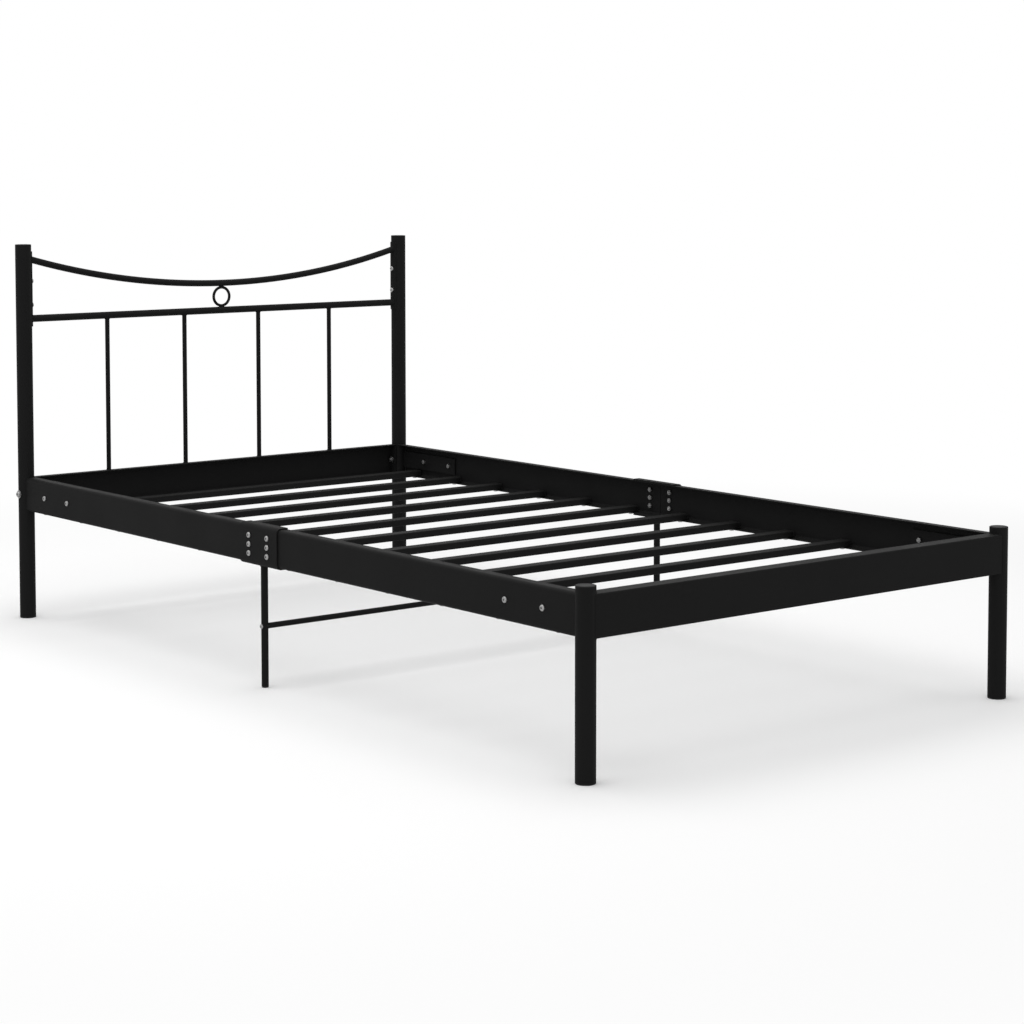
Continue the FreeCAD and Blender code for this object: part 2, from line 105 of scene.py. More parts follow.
def rounded_edges(tree, radius):
    """The normal of a surface with its edges rounded to a radius."""
    return add_node(tree, "ShaderNodeBevel", {"Radius": radius}, samples=4).outputs["Normal"]


def powder_coat(name):
    """Satin black powder: melted grain, orange peel, lighter edges (thin coat and a painted
    highlight), and a pale tint on upward faces (a trace of dust and painted light from above).
    """
    material, tree, shader, place = new_material(name)
    normal = add_node(tree, "ShaderNodeNewGeometry").outputs["Normal"]
    rounded = rounded_edges(tree, radius=0.0007)
    in_pits, on_grains = grey(0.0088), grey(0.0160)
    thin_coat_and_painted_sheen, dust_and_top_light_grey = grey(0.0175), grey(0.09, 0.05)

    grain = noise(tree, place, scale=1900, detail=2)
    colour = blend_colours(tree, grain, in_pits, on_grains)
    # Edges are mixed a little lighter: partly the thinner coat there, partly a painted
    # highlight along the rounded edges.
    flatness = add_node(tree, "ShaderNodeVectorMath", {0: normal, 1: rounded},
                        operation="DOT_PRODUCT").outputs["Value"]
    nearly_flat, bent_over = 0.99, 0.88
    edge = spread(tree, flatness, (nearly_flat, bent_over), (0.0, 0.5))
    colour = blend_colours(tree, edge, colour, thin_coat_and_painted_sheen)
    # Upward faces are mixed toward a pale grey in patches: partly a trace of real dust, partly
    # painted light falling on the tops from above.
    upward = add_node(tree, "ShaderNodeSeparateXYZ", {"Vector": normal}).outputs["Z"]
    steep, level = 0.55, 1.0
    lying = spread(tree, upward, (steep, level), (0.0, 1.0))
    dust_and_painted_top_light = work_out(tree, "MULTIPLY", lying,
                    noise(tree, place, scale=45, detail=5, low=0.0, high=0.05))
    colour = blend_colours(tree, dust_and_painted_top_light, colour, dust_and_top_light_grey)
    tree.links.new(colour, shader.inputs["Base Color"])

    flow = noise(tree, place, scale=9, detail=3, low=-0.035, high=0.035)
    fine = noise(tree, place, scale=1200, detail=2, low=0.52, high=0.62)
    dulled_by_dust = 0.8
    dulled = work_out(tree, "MULTIPLY", dust_and_painted_top_light, dulled_by_dust)
    rough = work_out(tree, "ADD", work_out(tree, "ADD", flow, fine), dulled)
    tree.links.new(rough, shader.inputs["Roughness"])
    shader.inputs["Specular IOR Level"].default_value = 0.033

    peel = add_node(tree, "ShaderNodeBump",
                    {"Strength": 0.3, "Distance": 0.00015,
                     "Height": noise(tree, place, scale=380, detail=2), "Normal": rounded})
    melted = add_node(tree, "ShaderNodeBump",
                      {"Strength": 0.7, "Distance": 0.00004, "Height": grain,
                       "Normal": peel.outputs["Normal"]})
    tree.links.new(melted.outputs["Normal"], shader.inputs["Normal"])
    return material


def finish_nodes(material, names):
    """Give CAD nodes their real finish."""
    for name in names:
        nodes[name].material_slots[0].material = material


def names_with(start):
    """The CAD nodes whose names start so, in order."""
    return sorted(name for name in nodes if name.startswith(start))


black_coat = powder_coat("satin_black_powder_coat")
post_names = [f"{end}_post_{side}" for end in ("head", "foot") for side in ("left", "right")]
finish_nodes(black_coat, post_names)


# ---- Post caps and floor glides ----
# Moulded polyethylene plugs pressed into the tube ends: a thin flat disc on each top, and a
# harder one with a chamfered foot under each post.
def moulded_plastic(name):
    """Black moulded plastic with the fine spark texture of its mould, scuffed in cloudy
    patches.
    """
    material, tree, shader, place = new_material(name)
    clean, scuffed = grey(0.017, -0.01), grey(0.026, 0.01)
    clouds = noise(tree, place, scale=160, detail=4)
    tree.links.new(blend_colours(tree, clouds, clean, scuffed), shader.inputs["Base Color"])
    rough = noise(tree, place, scale=700, detail=3, low=0.48, high=0.62)
    tree.links.new(rough, shader.inputs["Roughness"])
    shader.inputs["Specular IOR Level"].default_value = 0.055

    spark = add_node(tree, "ShaderNodeBump",
                     {"Strength": 0.5, "Distance": 0.00008,
                      "Height": noise(tree, place, scale=1500, detail=3),
                      "Normal": rounded_edges(tree, radius=0.0005)})
    tree.links.new(spark.outputs["Normal"], shader.inputs["Normal"])
    return material


def new_tree(name, **inputs):
    """An empty geometry tree and its inputs, which are lists of names by their kind."""
    tree = bpy.data.node_groups.new(name, "GeometryNodeTree")
    kinds = {"Geometry": ["Geometry"], **inputs, "Material": ["Material"]}
    for kind, labels in kinds.items():
        for label in labels:
            tree.interface.new_socket(label, in_out="INPUT", socket_type="NodeSocket" + kind)
    tree.interface.new_socket("Geometry", in_out="OUTPUT", socket_type="NodeSocketGeometry")
    return tree, tree.nodes.new("NodeGroupInput").outputs


def close_tree(tree, geometry, given):
    """End a tree in real geometry that carries its material."""
    real = add_node(tree, "GeometryNodeRealizeInstances", {"Geometry": geometry})
    coated = add_node(tree, "GeometryNodeSetMaterial",
                      {"Geometry": real.outputs[0], "Material": given["Material"]})
    add_node(tree, "NodeGroupOutput", {"Geometry": coated.outputs[0]})


def point_place(tree):
    """The x, y and z of each point."""
    place = add_node(tree, "GeometryNodeInputPosition").outputs[0]
    return add_node(tree, "ShaderNodeSeparateXYZ", {0: place}).outputs


def move_points(tree, shape, x, y, z):
    """A mesh or a curve with each of its points at a new place."""
    place = add_node(tree, "ShaderNodeCombineXYZ", {"X": x, "Y": y, "Z": z})
    return add_node(tree, "GeometryNodeSetPosition",
                    {"Geometry": shape, "Position": place.outputs[0]}).outputs[0]


def make_piece(name, tree, sizes, start=None):
    """The plain mesh that a tree makes from a start mesh, riding on the frame."""
    piece = bpy.data.objects.new(name, start or bpy.data.meshes.new(name))
    scene.collection.objects.link(piece)
    modifier = piece.modifiers.new(name, "NODES")
    modifier.node_group = tree
    for item in tree.interface.items_tree:
        if item.name in sizes:
            modifier[item.identifier] = sizes[item.name]
    view = bpy.context.evaluated_depsgraph_get()
    made = bpy.data.meshes.new_from_object(piece.evaluated_get(view),
                                           preserve_all_data_layers=True, depsgraph=view)
    made.name = name
    piece.modifiers.clear()
    piece.data = made
    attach(piece, "root")
    return piece


def turned_mesh(name, profile, sides):
    """A turned solid from (radius, height) points that start and end on the axis."""
    mesh = bpy.data.meshes.new(name)
    turned = bmesh.new()
    rings = []
    for radius, height in profile:
        if radius == 0:
            rings.append([turned.verts.new((0, 0, height))] * sides)
            continue
        angles = [2 * math.pi * i / sides for i in range(sides)]
        rings.append([turned.verts.new((radius * math.cos(angle), radius * math.sin(angle),
                                        height)) for angle in angles])
    for lower, upper in zip(rings, rings[1:]):
        for i in range(sides):
            corners = [lower[i - 1], lower[i], upper[i], upper[i - 1]]
            turned.faces.new(list(dict.fromkeys(corners)))
    bmesh.ops.recalc_face_normals(turned, faces=turned.faces)
    turned.to_mesh(mesh)
    turned.free()
    return mesh


def sharpen(tree, mesh, angle):
    """Smooth faces, with the edges sharper than an angle kept crisp."""
    smooth = add_node(tree, "GeometryNodeSetShadeSmooth", {"Geometry": mesh}, domain="FACE")
    fold = add_node(tree, "GeometryNodeInputMeshEdgeAngle").outputs["Unsigned Angle"]
    sharp = add_node(tree, "FunctionNodeCompare", {"A": fold, "B": angle},
                     operation="GREATER_THAN", data_type="FLOAT")
    return add_node(tree, "GeometryNodeSetShadeSmooth",
                    {"Geometry": smooth.outputs[0], "Selection": sharp.outputs[0],
                     "Shade Smooth": False}, domain="EDGE").outputs[0]


def post_cap_tree():
    """The same turned cap on each of the four posts."""
    tree, given = new_tree("post caps", Float=[
        "Posts Across", "Posts Along", "Head Top", "Foot Top"])
    corners = add_node(tree, "GeometryNodeMeshGrid",
                       {"Size X": given["Posts Across"], "Size Y": given["Posts Along"],
                        "Vertices X": 2, "Vertices Y": 2})
    at = point_place(tree)
    at_head = work_out(tree, "GREATER_THAN", at["Y"], 0.0)
    top = spread(tree, at_head, (0.0, 1.0), (given["Foot Top"], given["Head Top"]))
    caps = add_node(tree, "GeometryNodeInstanceOnPoints",
                    {"Points": move_points(tree, corners.outputs[0], at["X"], at["Y"], top),
                     "Instance": sharpen(tree, given["Geometry"], math.radians(35))})
    close_tree(tree, caps.outputs[0], given)
    return tree


black_plastic = moulded_plastic("moulded_black_plastic")
finish_nodes(black_plastic, ["post_glides"])
head_cap_low, head_cap_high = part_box("head_post_cap_right")
foot_cap_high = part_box("foot_post_cap_right")[1]
cap_radius = (head_cap_high.x - head_cap_low.x) / 2
cap_disc, cap_lip = 0.002, 0.0005
cap_plug_radius, plug_lead_in, plug_lead_height = 0.0174, 0.001, 0.003
plug_end = head_cap_low.z - head_cap_high.z
shoulder_width, shoulder_drop = 0.0032, 0.0011
groove_outside, groove_inside, groove_lip = 0.0034, 0.0040, 0.0042
groove_depth, lip_depth = 0.00022, 0.00002
dish_radius, dish_rim_depth, dish_depth = 0.006, 0.00025, 0.00030
quarter_turn = [math.pi / 2 * i / 6 for i in range(7)]
cap_shoulder = [(cap_radius - shoulder_width * (1 - math.sin(turn)),
                 -shoulder_drop * (1 - math.cos(turn))) for turn in quarter_turn]
cap_profile = [(0, plug_end), (cap_plug_radius - plug_lead_in, plug_end),
               (cap_plug_radius, plug_end + plug_lead_height),
               (cap_plug_radius, -cap_disc), (cap_radius - cap_lip, -cap_disc),
               (cap_radius, -cap_disc + cap_lip)]
cap_profile += list(reversed(cap_shoulder))
cap_profile += [(cap_radius - groove_outside, -groove_depth),
                (cap_radius - groove_inside, -groove_depth),
                (cap_radius - groove_lip, -lip_depth),
                (dish_radius, -dish_rim_depth), (0, -dish_depth)]
post_caps = make_piece("post_caps_moulded", post_cap_tree(), {
    "Posts Across": head_cap_high.x + head_cap_low.x,
    "Posts Along": head_cap_high.y + head_cap_low.y, "Head Top": head_cap_high.z,
    "Foot Top": foot_cap_high.z, "Material": black_plastic},
    turned_mesh("post_cap_turned", cap_profile, sides=64))
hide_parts(*names_with("head_post_cap"), *names_with("foot_post_cap"))


# ---- Headboard top rail ----
# One thin tube bent to a long even arc on a roller bender. Its ends are cut hollow to lie
# against the curved end plates, where they are welded.
def third_side(tree, longest, side):
    """The third side of a right-angled triangle."""
    squares = [work_out(tree, "POWER", length, 2) for length in (longest, side)]
    return work_out(tree, "SQRT", work_out(tree, "SUBTRACT", *squares))


def sweep(tree, curve, sides, radius, more=()):
    """A round bar along a curve. More holds other inputs of the bar, such as its caps."""
    section = add_node(tree, "GeometryNodeCurvePrimitiveCircle",
                       {"Resolution": sides, "Radius": radius})
    inputs = {"Curve": curve, "Profile Curve": section.outputs[0], **dict(more)}
    return add_node(tree, "GeometryNodeCurveToMesh", inputs).outputs[0]


def bent_tube_tree():
    """A tube along an arc that sags between two posts, its ends hollowed for round seats."""
    tree, given = new_tree("bent tube", Float=[
        "Half Width", "Bend Radius", "Low Height", "Distance Back", "Tube Radius",
        "Seat Distance", "Seat Radius"], Int=["Rings", "Sides"])
    line = add_node(tree, "GeometryNodeCurvePrimitiveLine",
                    {"Start": (-1, 0, 0), "End": (1, 0, 0)})
    steps = add_node(tree, "GeometryNodeResampleCurve",
                     {"Curve": line.outputs[0], "Count": given["Rings"]})
    at = point_place(tree)
    x = work_out(tree, "MULTIPLY", at["X"], given["Half Width"])
    fall = third_side(tree, given["Bend Radius"], x)
    rise = work_out(tree, "SUBTRACT", given["Bend Radius"], fall)
    arc = move_points(tree, steps.outputs[0], x, given["Distance Back"],
                      work_out(tree, "ADD", given["Low Height"], rise))
    tube = sweep(tree, arc, given["Sides"], given["Tube Radius"], {"Fill Caps": True})
    aside = work_out(tree, "SUBTRACT", at["Y"], given["Distance Back"])
    limit = work_out(tree, "SUBTRACT", given["Seat Distance"],
                     third_side(tree, given["Seat Radius"], aside))
    sawn = work_out(tree, "MAXIMUM", work_out(tree, "MINIMUM", at["X"], limit),
                    work_out(tree, "MULTIPLY", limit, -1))
    slope = work_out(tree, "DIVIDE", at["X"],
                     third_side(tree, given["Bend Radius"], at["X"]))
    back = work_out(tree, "MULTIPLY", work_out(tree, "SUBTRACT", sawn, at["X"]), slope)
    cut = move_points(tree, tube, sawn, at["Y"], work_out(tree, "ADD", at["Z"], back))
    close_tree(tree, cut, given)
    return tree


post_low, post_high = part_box("head_post_right")
post_x = (post_low.x + post_high.x) / 2
post_radius = (post_high.x - post_low.x) / 2
headboard_y = (post_low.y + post_high.y) / 2
rail_seat_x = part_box("headboard_end_plate_right")[0].x
rail_seat_radius = post_x - rail_seat_x
rail_low, rail_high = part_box("headboard_top_rail")
top_rail_radius = (rail_high.y - rail_low.y) / 2
top_rail_rise = rail_high.z - rail_low.z - 2 * top_rail_radius
top_rail_bend = (rail_seat_x ** 2 + top_rail_rise ** 2) / (2 * top_rail_rise) + top_rail_radius
past_seat = 0.0037
top_rail = make_piece("headboard_top_rail_bent", bent_tube_tree(), {
    "Half Width": rail_seat_x + past_seat, "Bend Radius": top_rail_bend,
    "Low Height": rail_low.z + top_rail_radius, "Distance Back": headboard_y,
    "Tube Radius": top_rail_radius, "Seat Distance": post_x, "Seat Radius": rail_seat_radius,
    "Rings": 180, "Sides": 40, "Material": black_coat})
top_rail.data.shade_smooth()
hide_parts("headboard_top_rail")


# ---- Headboard mid rail, spindles, ring, end plates and head rail ----
# Straight tubes, a rod ring and curved plates, held in a jig and welded to one panel, then
# powder coated as a whole. The head rail is the wide rolled channel at its foot.
finish_nodes(black_coat, ["headboard_mid_rail", "head_rail", "head_rail_end_plates"])
finish_nodes(black_coat, names_with("headboard_spindle") + names_with("headboard_end_plate"))


def ring_tree():
    """A rod bent round to a closed ring, standing upright and facing along the bed."""
    tree, given = new_tree("rod ring", Float=["Ring Radius", "Rod Radius"],
                           Vector=["Centre"], Int=["Steps", "Sides"])
    bend = add_node(tree, "GeometryNodeCurvePrimitiveCircle",
                    {"Resolution": given["Steps"], "Radius": given["Ring Radius"]})
    upright = add_node(tree, "GeometryNodeTransform",
                       {"Geometry": bend.outputs[0], "Translation": given["Centre"],
                        "Rotation": (math.pi / 2, 0, 0)})
    rod = sweep(tree, upright.outputs[0], given["Sides"], given["Rod Radius"])
    close_tree(tree, rod, given)
    return tree


ring_low, ring_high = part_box("headboard_ring")
ring_rod_radius = (ring_high.y - ring_low.y) / 2
weld_sink = 0.0006
ring = make_piece("headboard_ring_bent", ring_tree(), {
    "Ring Radius": (ring_high.z - ring_low.z) / 2 + weld_sink - ring_rod_radius,
    "Rod Radius": ring_rod_radius, "Centre": tuple((ring_low + ring_high) / 2),
    "Steps": 120, "Sides": 28, "Material": black_coat})
ring.data.shade_smooth()
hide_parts("headboard_ring")


# ---- Headboard welds ----
# Short beads laid round each joint with a wire welder, overlapping where they start and stop,
# and coated over with the tubes.
def weld_bead_tree():
    """A rippled bead along each open path of edges."""
    tree, given = new_tree("weld bead", Float=[
        "Bead Radius", "Ripple Pitch", "Ripple Depth", "Unevenness", "End Taper"],
        Int=["Seed"])
    path = add_node(tree, "GeometryNodeMeshToCurve", {"Mesh": given["Geometry"]})
    steps_per_ripple = 4
    step = work_out(tree, "DIVIDE", given["Ripple Pitch"], steps_per_ripple)
    fine = add_node(tree, "GeometryNodeResampleCurve",
                    {"Curve": path.outputs[0], "Length": step}, mode="LENGTH")
    run = add_node(tree, "GeometryNodeSplineParameter").outputs["Length"]
    ripple = work_out(tree, "FRACT", work_out(tree, "DIVIDE", run, given["Ripple Pitch"]))
    dip = work_out(tree, "MULTIPLY", work_out(tree, "POWER", ripple, 2), given["Ripple Depth"])
    wander = add_node(tree, "ShaderNodeTexNoise", {"W": given["Seed"], "Scale": 140},
                      noise_dimensions="4D").outputs["Fac"]
    swell = work_out(tree, "MULTIPLY", work_out(tree, "SUBTRACT", wander, 0.5),
                     given["Unevenness"])
    share = work_out(tree, "ADD", work_out(tree, "SUBTRACT", 1.0, dip), swell)
    whole = add_node(tree, "GeometryNodeSplineLength").outputs["Length"]
    from_end = work_out(tree, "MINIMUM", run, work_out(tree, "SUBTRACT", whole, run))
    blunt_tip = 0.12
    ending = spread(tree, from_end, (0.0, given["End Taper"]), (blunt_tip, math.pi / 2))
    share = work_out(tree, "MULTIPLY", share, work_out(tree, "SINE", ending))
    bead = sweep(tree, fine.outputs[0], sides=12, radius=1, more={
        "Scale": work_out(tree, "MULTIPLY", share, given["Bead Radius"]), "Fill Caps": True})
    close_tree(tree, bead, given)
    return tree


weld_bead = weld_bead_tree()


def weld(name, seams, bead, seed, taper=0.003):
    """Beads along seams, each a list of points, that thin out at both ends."""
    mesh = bpy.data.meshes.new(name)
    points, edges = [], []
    for seam in seams:
        edges += [(len(points) + i, len(points) + i + 1) for i in range(len(seam) - 1)]
        points += seam
    mesh.from_pydata(points, edges, [])
    piece = make_piece(name, weld_bead, {
        "Bead Radius": bead, "Ripple Pitch": 0.0015, "Ripple Depth": 0.14, "Unevenness": 0.3,
        "End Taper": taper, "Seed": seed, "Material": black_coat}, mesh)
    piece.data.shade_smooth()


def round_seam(place):
    """A seam once round a joint and a little over. The rule gives the place at an angle."""
    steps, overlap = 48, 4
    return [place(2 * math.pi * i / steps) for i in range(steps + overlap)]


def middle(name):
    """The middle of a CAD node's box."""
    low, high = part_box(name)
    return (low + high) / 2


mid_low, mid_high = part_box("headboard_mid_rail")
mid_rail_radius = (mid_high.z - mid_low.z) / 2
mid_rail_z = (mid_high.z + mid_low.z) / 2
head_rail_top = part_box("head_rail")[1].z
spindles = names_with("headboard_spindle")
spindle_radius = (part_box(spindles[0])[1].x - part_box(spindles[0])[0].x) / 2
seams = []
for name in spindles:
    axis = middle(name)

    def under_mid_rail(turn, axis=axis):
        aside = spindle_radius * math.sin(turn)
        return (axis.x + spindle_radius * math.cos(turn), axis.y + aside,
                mid_rail_z - math.sqrt(mid_rail_radius ** 2 - aside ** 2))

    def on_head_rail(turn, axis=axis):
        return (axis.x + spindle_radius * math.cos(turn),
                axis.y + spindle_radius * math.sin(turn), head_rail_top)

    seams += [round_seam(under_mid_rail), round_seam(on_head_rail)]
top_rail_centre_z = rail_low.z + top_rail_radius + top_rail_bend


def reach_to_seat(aside):
    """How far across the bed a rail meets its round seat, beside the rail's own middle."""
    return post_x - math.sqrt(rail_seat_radius ** 2 - aside ** 2)


for side in (-1, 1):
    def round_mid_rail(turn, side=side):
        aside = mid_rail_radius * math.cos(turn)
        return (side * reach_to_seat(aside), headboard_y + aside,
                mid_rail_z + mid_rail_radius * math.sin(turn))

    def round_top_rail(turn, side=side):
        aside = top_rail_radius * math.cos(turn)
        reach = reach_to_seat(aside)
        bend = top_rail_bend - top_rail_radius * math.sin(turn)
        return (side * reach, headboard_y + aside,
                top_rail_centre_z - math.sqrt(bend ** 2 - reach ** 2))

    seams += [round_seam(round_mid_rail), round_seam(round_top_rail)]
weld("headboard_welds", seams, bead=0.0015, seed=3)

tack_half_length, tack_curl, tack_aside = 0.0065, 0.0004, ring_rod_radius * 0.72
tacks = [[(x * tack_half_length, headboard_y + face * tack_aside, z - rise * tack_curl * x * x)
          for x in (i / 4 for i in range(-4, 5))]
         for z, rise in ((ring_low.z, -1), (ring_high.z, 1)) for face in (-1, 1)]
weld("headboard_ring_tacks", tacks, bead=0.0012, seed=5, taper=tack_half_length)


# ---- Headboard screws ----
# Zinc plated machine screws with a low domed head and a hex socket, driven from the inner side
# through each end plate into a rivet nut in the post.
def zinc_plate(name):
    """Dull bright zinc: cloudy passivation, and fine turned rings round a screw's axis."""
    material, tree, shader, place = new_material(name)
    dull, bright = grey(0.27, -0.015), grey(0.36, 0.02)
    clouds = noise(tree, place, scale=320, detail=4)
    tree.links.new(blend_colours(tree, clouds, dull, bright), shader.inputs["Base Color"])
    rough = noise(tree, place, scale=900, detail=3, low=0.32, high=0.50)
    tree.links.new(rough, shader.inputs["Roughness"])
    shader.inputs["Metallic"].default_value = 1
    from_axis = add_node(tree, "ShaderNodeAttribute", attribute_name="from_axis")
    ring_waves = 22000
    rings = work_out(tree, "SINE", work_out(tree, "MULTIPLY", from_axis.outputs["Fac"],
                                            ring_waves))
    turned = add_node(tree, "ShaderNodeBump",
                      {"Strength": 0.25, "Distance": 0.00003, "Height": rings})
    tree.links.new(turned.outputs["Normal"], shader.inputs["Normal"])
    return material


bright_zinc = zinc_plate("bright_zinc_plate")


def solid_boxes(node):
    """The lowest and highest corner of each separate solid in a CAD node."""
    copy = bmesh.new()
    copy.from_mesh(nodes[node].data)
    bmesh.ops.remove_doubles(copy, verts=copy.verts, dist=1e-6)
    boxes, left = [], set(copy.verts)
    while left:
        solid, edge_of_solid = set(), {left.pop()}
        while edge_of_solid:
            solid |= edge_of_solid
            edge_of_solid = {edge.other_vert(vert) for vert in edge_of_solid
                             for edge in vert.link_edges} - solid
        left -= solid
        boxes.append([Vector([pick(vert.co[i] for vert in solid) for i in range(3)])
                      for pick in (min, max)])
    copy.free()
    return sorted(boxes, key=lambda box: tuple(box[0]))


def along_axis(tree, mesh, given):
    """Copies of a mesh drawn along +Z, one at each point, turned to the point's own axis."""
    axis = add_node(tree, "GeometryNodeInputNamedAttribute", {"Name": "axis"},
                    data_type="FLOAT_VECTOR").outputs["Attribute"]
    lean = add_node(tree, "FunctionNodeAlignRotationToVector", {"Vector": axis}, axis="Z")
    angle = add_node(tree, "FunctionNodeRandomValue",
                     {2: 0.0, 3: 2 * math.pi, "Seed": given["Seed"]},
                     data_type="FLOAT").outputs[1]
    spin = add_node(tree, "FunctionNodeAxisAngleToRotation", {"Angle": angle})
    turned = add_node(tree, "FunctionNodeRotateRotation",
                      {"Rotation": lean.outputs[0], "Rotate By": spin.outputs[0]},
                      rotation_space="LOCAL")
    return add_node(tree, "GeometryNodeInstanceOnPoints",
                    {"Points": given["Geometry"], "Instance": mesh,
                     "Rotation": turned.outputs[0]}).outputs[0]


def screw_tree():
    """A domed head with a hex socket over a threaded shank, at each point."""
    tree, given = new_tree("socket screw", Float=[
        "Head Radius", "Head Height", "Rim Height", "Flat Share", "Socket Radius",
        "Socket Depth", "Shank Radius", "Shank Length", "Thread Pitch", "Thread Depth"],
        Int=["Seed"])
    rings = 9
    rim_top = 1 / rings
    blank = add_node(tree, "GeometryNodeMeshCylinder",
                     {"Vertices": 40, "Side Segments": rings, "Radius": given["Head Radius"],
                      "Depth": given["Head Height"]})
    at = point_place(tree)
    up = work_out(tree, "ADD", work_out(tree, "DIVIDE", at["Z"], given["Head Height"]), 0.5)
    bow = spread(tree, up, (rim_top, 1.0), (0.0, math.pi / 2))
    rim = spread(tree, up, (0.0, rim_top), (0.0, given["Rim Height"]))
    dome = work_out(tree, "MULTIPLY", work_out(tree, "SINE", bow),
                    work_out(tree, "SUBTRACT", given["Head Height"], given["Rim Height"]))
    past_flat = work_out(tree, "MULTIPLY", work_out(tree, "COSINE", bow),
                         work_out(tree, "SUBTRACT", 1.0, given["Flat Share"]))
    share = work_out(tree, "ADD", past_flat, given["Flat Share"])
    domed = move_points(tree, blank.outputs[0], work_out(tree, "MULTIPLY", at["X"], share),
                        work_out(tree, "MULTIPLY", at["Y"], share),
                        work_out(tree, "ADD", rim, dome))
    key = add_node(tree, "GeometryNodeMeshCylinder",
                   {"Vertices": 6, "Radius": given["Socket Radius"],
                    "Depth": work_out(tree, "MULTIPLY", given["Socket Depth"], 2)})
    key_up = add_node(tree, "ShaderNodeCombineXYZ", {"Z": given["Head Height"]})
    key_in = add_node(tree, "GeometryNodeTransform",
                      {"Geometry": key.outputs[0], "Translation": key_up.outputs[0]})
    head = add_node(tree, "GeometryNodeMeshBoolean",
                    {"Mesh 1": domed, "Mesh 2": key_in.outputs[0]},
                    operation="DIFFERENCE", solver="EXACT")

    turns = work_out(tree, "DIVIDE", given["Shank Length"], given["Thread Pitch"])
    rings_per_turn = 4
    shank = add_node(tree, "GeometryNodeMeshCylinder",
                     {"Vertices": 16,
                      "Side Segments": work_out(tree, "MULTIPLY", turns, rings_per_turn),
                      "Radius": given["Shank Radius"], "Depth": given["Shank Length"]})
    turn = work_out(tree, "DIVIDE", work_out(tree, "ARCTAN2", at["Y"], at["X"]), 2 * math.pi)
    along = work_out(tree, "DIVIDE", at["Z"], given["Thread Pitch"])
    wound = work_out(tree, "ADD", along, turn)
    groove = work_out(tree, "MULTIPLY", work_out(tree, "PINGPONG", wound, 0.5), 2)
    depth = work_out(tree, "MULTIPLY", groove, given["Thread Depth"])
    thread = work_out(tree, "SUBTRACT", 1.0,
                      work_out(tree, "DIVIDE", depth, given["Shank Radius"]))
    half = work_out(tree, "DIVIDE", given["Shank Length"], 2)
    threaded = move_points(tree, shank.outputs[0], work_out(tree, "MULTIPLY", at["X"], thread),
                           work_out(tree, "MULTIPLY", at["Y"], thread),
                           work_out(tree, "SUBTRACT", at["Z"], half))

    both = add_node(tree, "GeometryNodeJoinGeometry", {"Geometry": threaded})
    tree.links.new(head.outputs[0], both.inputs[0])
    across = add_node(tree, "ShaderNodeCombineXYZ", {"X": at["X"], "Y": at["Y"]})
    distance = add_node(tree, "ShaderNodeVectorMath", {0: across.outputs[0]},
                        operation="LENGTH").outputs["Value"]
    marked = add_node(tree, "GeometryNodeStoreNamedAttribute",
                      {"Geometry": both.outputs[0], "Name": "from_axis", "Value": distance},
                      data_type="FLOAT", domain="POINT")
    crisp = sharpen(tree, marked.outputs[0], math.radians(38))
    close_tree(tree, along_axis(tree, crisp, given), given)
    return tree


socket_screw = screw_tree()


def seats(name, boxes, axis_of, back):
    """A start mesh of points, each a distance back from the far face of a box on its axis."""
    mesh = bpy.data.meshes.new(name)
    axes = [Vector(axis_of((low + high) / 2)) for low, high in boxes]
    points = []
    for (low, high), axis in zip(boxes, axes):
        reach = abs(axis.dot(high - low)) / 2
        points.append((low + high) / 2 + axis * (reach - back))
    mesh.from_pydata(points, [], [])
    attribute = mesh.attributes.new("axis", "FLOAT_VECTOR", "POINT")
    attribute.data.foreach_set("vector", [value for axis in axes for value in axis])
    return mesh


def screws(node, axis_of, size, pitch, head_height, socket_flats, seed):
    """Socket screws in place of a CAD node, their heads facing along axis_of(place)."""
    boxes = solid_boxes(node)
    axis = Vector(axis_of(sum(boxes[0], Vector()) / 2))
    extent = boxes[0][1] - boxes[0][0]
    length = abs(axis.dot(extent))
    head_radius = sum(extent[i] for i in range(3) if abs(axis[i]) < 0.5) / 4
    points = seats(node + "_seats", boxes, axis_of, head_height)
    piece = make_piece(node + "_turned", socket_screw, {
        "Head Radius": head_radius, "Head Height": head_height,
        "Rim Height": head_height * 0.2, "Flat Share": 0.5,
        "Socket Radius": socket_flats / math.sqrt(3), "Socket Depth": head_height * 0.6,
        "Shank Radius": size / 2, "Shank Length": length - head_height,
        "Thread Pitch": pitch, "Thread Depth": pitch * 0.5, "Seed": seed,
        "Material": bright_zinc},
        points)
    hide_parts(node)


def outward(place):
    """The way to the bed's nearer side."""
    return (math.copysign(1, place.x), 0, 0)


def inward(place):
    """The way to the middle of the bed."""
    return (-math.copysign(1, place.x), 0, 0)


def downward(place):
    """The way to the floor."""
    return (0, 0, -1)


m6 = {"size": 0.006, "pitch": 0.001, "head_height": 0.0033, "socket_flats": 0.004}
screws("headboard_bolts", inward, seed=11, **m6)
finish_nodes(bright_zinc, ["rivet_nuts"])


